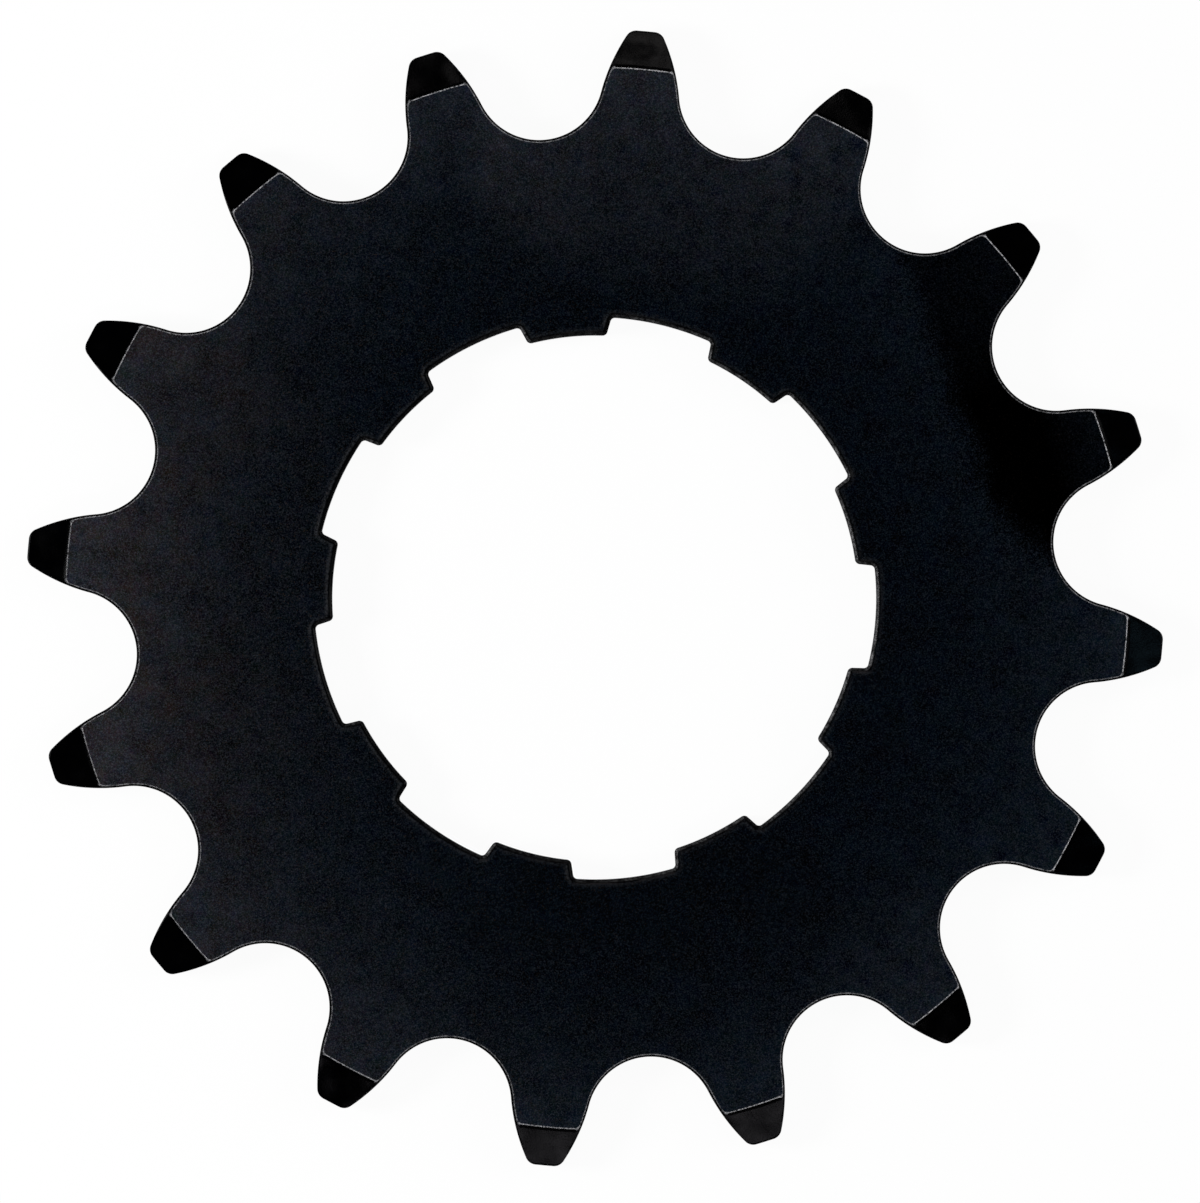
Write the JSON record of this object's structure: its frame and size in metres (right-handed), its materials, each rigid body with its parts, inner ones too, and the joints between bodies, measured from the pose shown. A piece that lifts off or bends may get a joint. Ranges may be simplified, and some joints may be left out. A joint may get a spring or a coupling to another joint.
{
  "type": "bicycle sprocket",
  "caption": "Flat black steel chain sprocket with rounded roller seats, bevelled tooth tips and a splined bore that slides onto a hub.",
  "frame": {"origin": "on the axis of the bore, at the back face", "axes": "+Z along the axis, out of the front face; +Y through the middle of a bore land and of the tooth gap in line with it"},
  "size_m": [0.0696, 0.0696, 0.0022],
  "materials": {
    "black_steel": "satin black coating on steel, finely grained"
  },
  "bodies": {
    "root": {"sprocket": "black_steel"}
  },
  "joints": []
}
